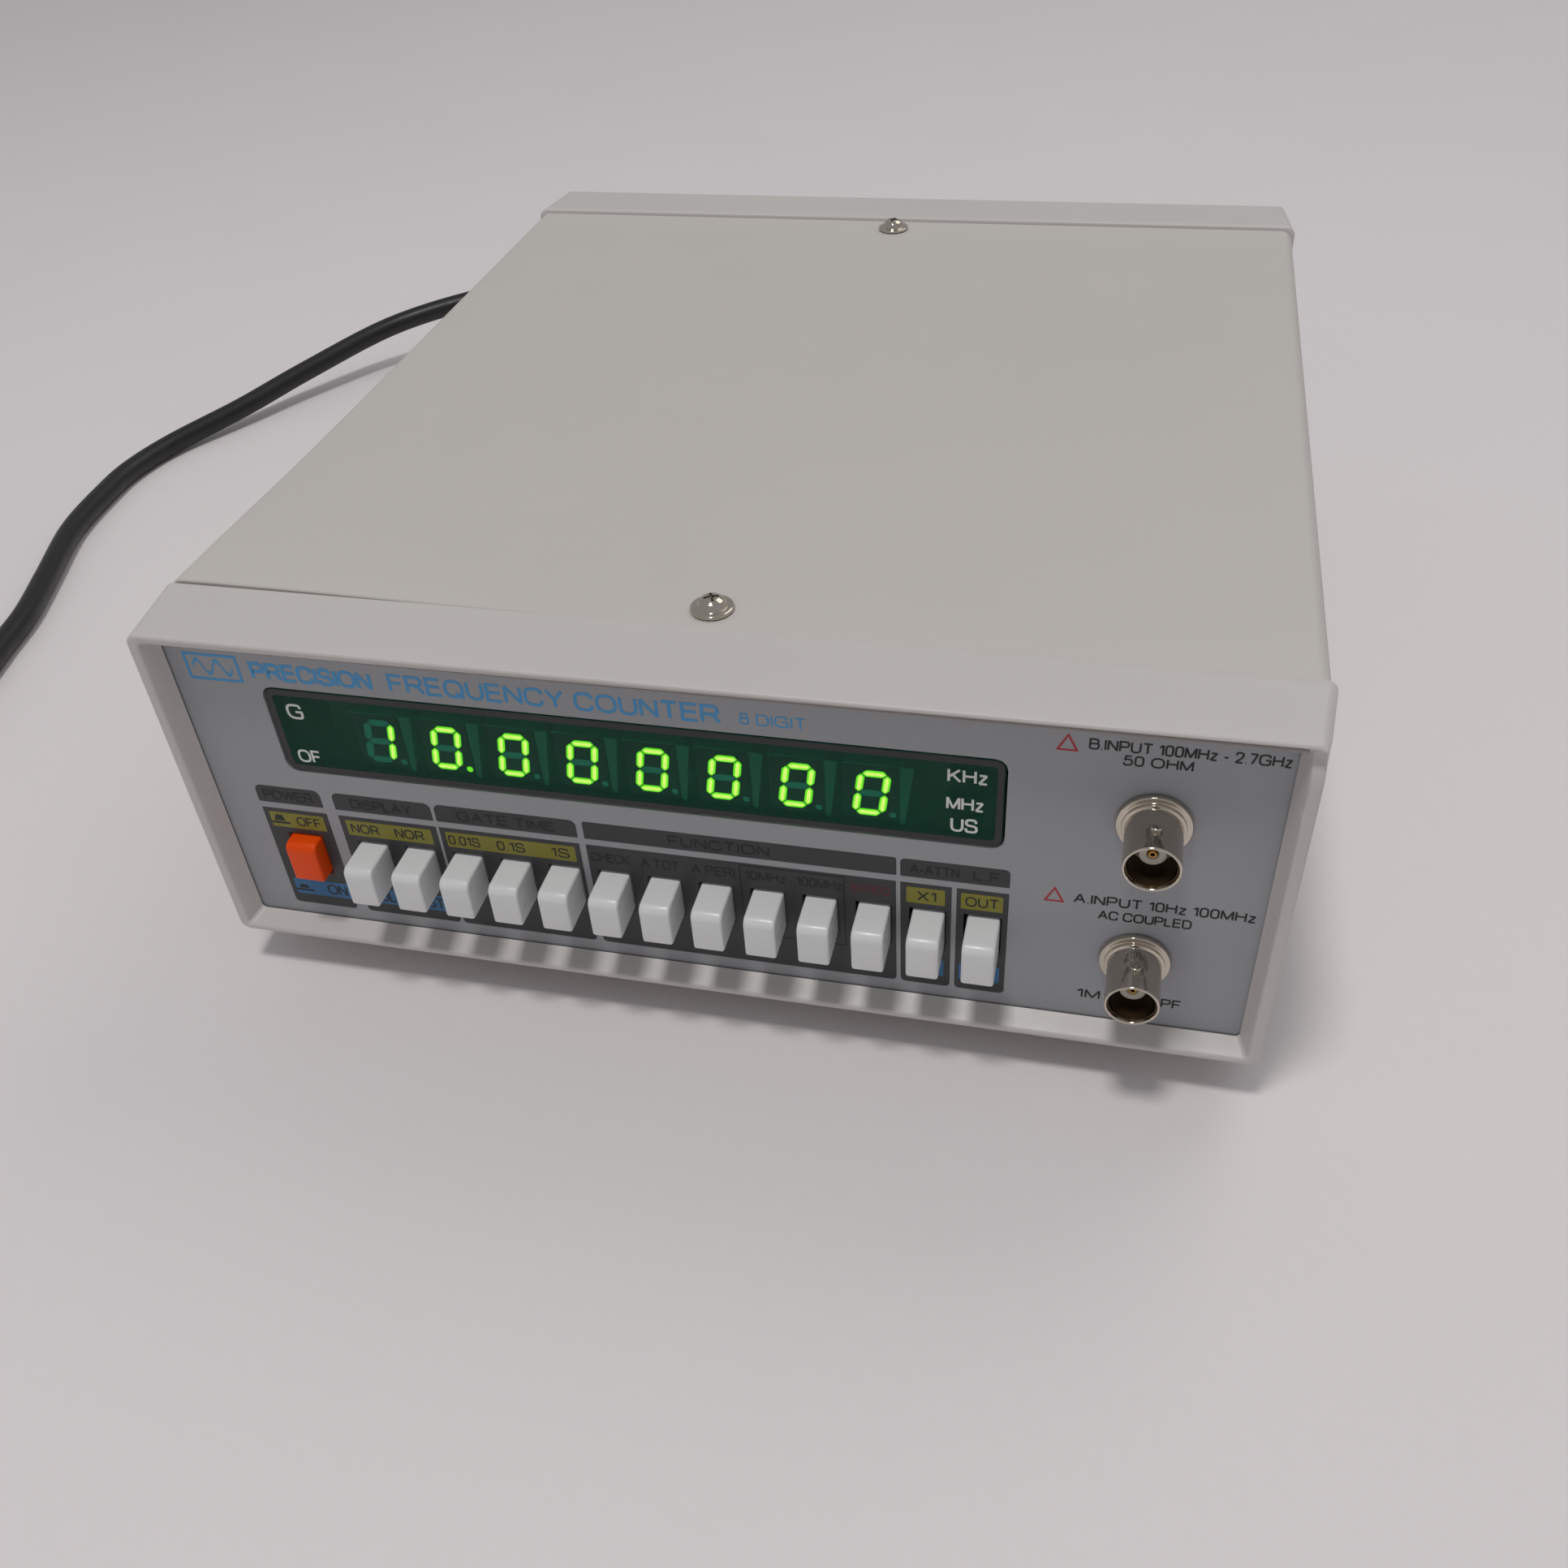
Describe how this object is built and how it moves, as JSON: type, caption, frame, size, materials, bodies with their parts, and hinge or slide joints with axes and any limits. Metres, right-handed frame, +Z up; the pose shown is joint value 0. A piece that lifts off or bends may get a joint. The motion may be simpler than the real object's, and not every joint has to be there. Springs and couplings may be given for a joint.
{
  "type": "frequency counter",
  "caption": "Bench frequency counter: flat case between moulded bezels, push buttons and a lit digit display on the front, two coaxial inputs, fuse and mains cord at the rear.",
  "frame": {"origin": "on the surface that the feet stand on, under the middle of the instrument's box without its cord", "axes": "+X to the right as seen from the front, +Y from the front panel to the rear, +Z up"},
  "size_m": [0.4366, 0.3305, 0.0872],
  "materials": {
    "bezel_plastic": "satin moulded",
    "cover_paint": "fine matte",
    "panel_paint": "satin printed",
    "window_green": "gloss",
    "digit_green": "satin",
    "board_green": "satin",
    "nickel": "polished",
    "insulator_white": "satin",
    "gold": "polished",
    "button_white": "satin",
    "button_orange": "satin",
    "black_plastic": "satin",
    "foot_rubber": "matte",
    "transformer_iron": "varnished",
    "cord_rubber": "semi-matt"
  },
  "bodies": {
    "case": {"front_bezel": "bezel_plastic", "rear_bezel": "bezel_plastic", "top_cover": "cover_paint", "bottom_cover": "cover_paint", "front_panel": "panel_paint", "rear_panel": "panel_paint", "display_window": "window_green", "display_digit_1": "digit_green", "display_digit_2": "digit_green", "display_digit_3": "digit_green", "display_digit_4": "digit_green", "display_digit_5": "digit_green", "display_digit_6": "digit_green", "display_digit_7": "digit_green", "display_digit_8": "digit_green", "display_board": "board_green", "main_board": "board_green", "input_a_connector": "nickel", "input_b_connector": "nickel", "input_a_nut": "nickel", "input_b_nut": "nickel", "top_screw_front": "nickel", "top_screw_rear": "nickel", "bottom_screw_front": "nickel", "bottom_screw_rear": "nickel", "input_a_insulator": "insulator_white", "input_b_insulator": "insulator_white", "input_a_contact": "gold", "input_b_contact": "gold", "display_switch": "black_plastic", "gate_switch": "black_plastic", "function_switch": "black_plastic", "attenuator_switch": "black_plastic", "filter_switch": "black_plastic", "power_switch": "black_plastic", "fuse_holder": "black_plastic", "power_plug": "black_plastic", "foot_front_left": "foot_rubber", "foot_front_right": "foot_rubber", "foot_rear_left": "foot_rubber", "foot_rear_right": "foot_rubber", "transformer": "transformer_iron", "strain_relief": "cord_rubber", "power_cord": "cord_rubber", "cord_coil": "cord_rubber"},
    "display_button_1_body": {"display_button_1": "button_white"},
    "display_button_2_body": {"display_button_2": "button_white"},
    "gate_button_1_body": {"gate_button_1": "button_white"},
    "gate_button_2_body": {"gate_button_2": "button_white"},
    "gate_button_3_body": {"gate_button_3": "button_white"},
    "check_button_body": {"check_button": "button_white"},
    "total_button_body": {"total_button": "button_white"},
    "period_button_body": {"period_button": "button_white"},
    "range_button_1_body": {"range_button_1": "button_white"},
    "range_button_2_body": {"range_button_2": "button_white"},
    "range_button_3_body": {"range_button_3": "button_white"},
    "attenuator_button_body": {"attenuator_button": "button_white"},
    "filter_button_body": {"filter_button": "button_white"},
    "power_button_body": {"power_button": "button_orange"},
    "fuse_cap_body": {"fuse_cap": "black_plastic"}
  },
  "joints": [
    {"name": "power_button_slide", "type": "slide", "parent": "case", "child": "power_button_body", "axis": [0, 1, 0], "range_m": [-0.00475, 0]},
    {"name": "display_button_1_slide", "type": "slide", "parent": "case", "child": "display_button_1_body", "axis": [0, 1, 0], "range_m": [0, 0.0045], "stiffness_N_per_m": 300},
    {"name": "display_button_2_slide", "type": "slide", "parent": "case", "child": "display_button_2_body", "axis": [0, 1, 0], "range_m": [0, 0.0045], "stiffness_N_per_m": 300},
    {"name": "gate_button_1_slide", "type": "slide", "parent": "case", "child": "gate_button_1_body", "axis": [0, 1, 0], "range_m": [0, 0.0045], "stiffness_N_per_m": 300},
    {"name": "gate_button_2_slide", "type": "slide", "parent": "case", "child": "gate_button_2_body", "axis": [0, 1, 0], "range_m": [0, 0.0045], "stiffness_N_per_m": 300},
    {"name": "gate_button_3_slide", "type": "slide", "parent": "case", "child": "gate_button_3_body", "axis": [0, 1, 0], "range_m": [0, 0.0045], "stiffness_N_per_m": 300},
    {"name": "check_button_slide", "type": "slide", "parent": "case", "child": "check_button_body", "axis": [0, 1, 0], "range_m": [0, 0.0045], "stiffness_N_per_m": 300},
    {"name": "total_button_slide", "type": "slide", "parent": "case", "child": "total_button_body", "axis": [0, 1, 0], "range_m": [0, 0.0045], "stiffness_N_per_m": 300},
    {"name": "period_button_slide", "type": "slide", "parent": "case", "child": "period_button_body", "axis": [0, 1, 0], "range_m": [0, 0.0045], "stiffness_N_per_m": 300},
    {"name": "range_button_1_slide", "type": "slide", "parent": "case", "child": "range_button_1_body", "axis": [0, 1, 0], "range_m": [0, 0.0045], "stiffness_N_per_m": 300},
    {"name": "range_button_2_slide", "type": "slide", "parent": "case", "child": "range_button_2_body", "axis": [0, 1, 0], "range_m": [0, 0.0045], "stiffness_N_per_m": 300},
    {"name": "range_button_3_slide", "type": "slide", "parent": "case", "child": "range_button_3_body", "axis": [0, 1, 0], "range_m": [0, 0.0045], "stiffness_N_per_m": 300},
    {"name": "attenuator_button_slide", "type": "slide", "parent": "case", "child": "attenuator_button_body", "axis": [0, 1, 0], "range_m": [0, 0.0045], "stiffness_N_per_m": 300},
    {"name": "filter_button_slide", "type": "slide", "parent": "case", "child": "filter_button_body", "axis": [0, 1, 0], "range_m": [0, 0.0045], "stiffness_N_per_m": 300},
    {"name": "fuse_cap_turn", "type": "hinge", "parent": "case", "child": "fuse_cap_body", "pos_m": [-0.052, 0.11616, 0.03], "axis": [0, 1, 0], "range_deg": [0, 45]}
  ]
}
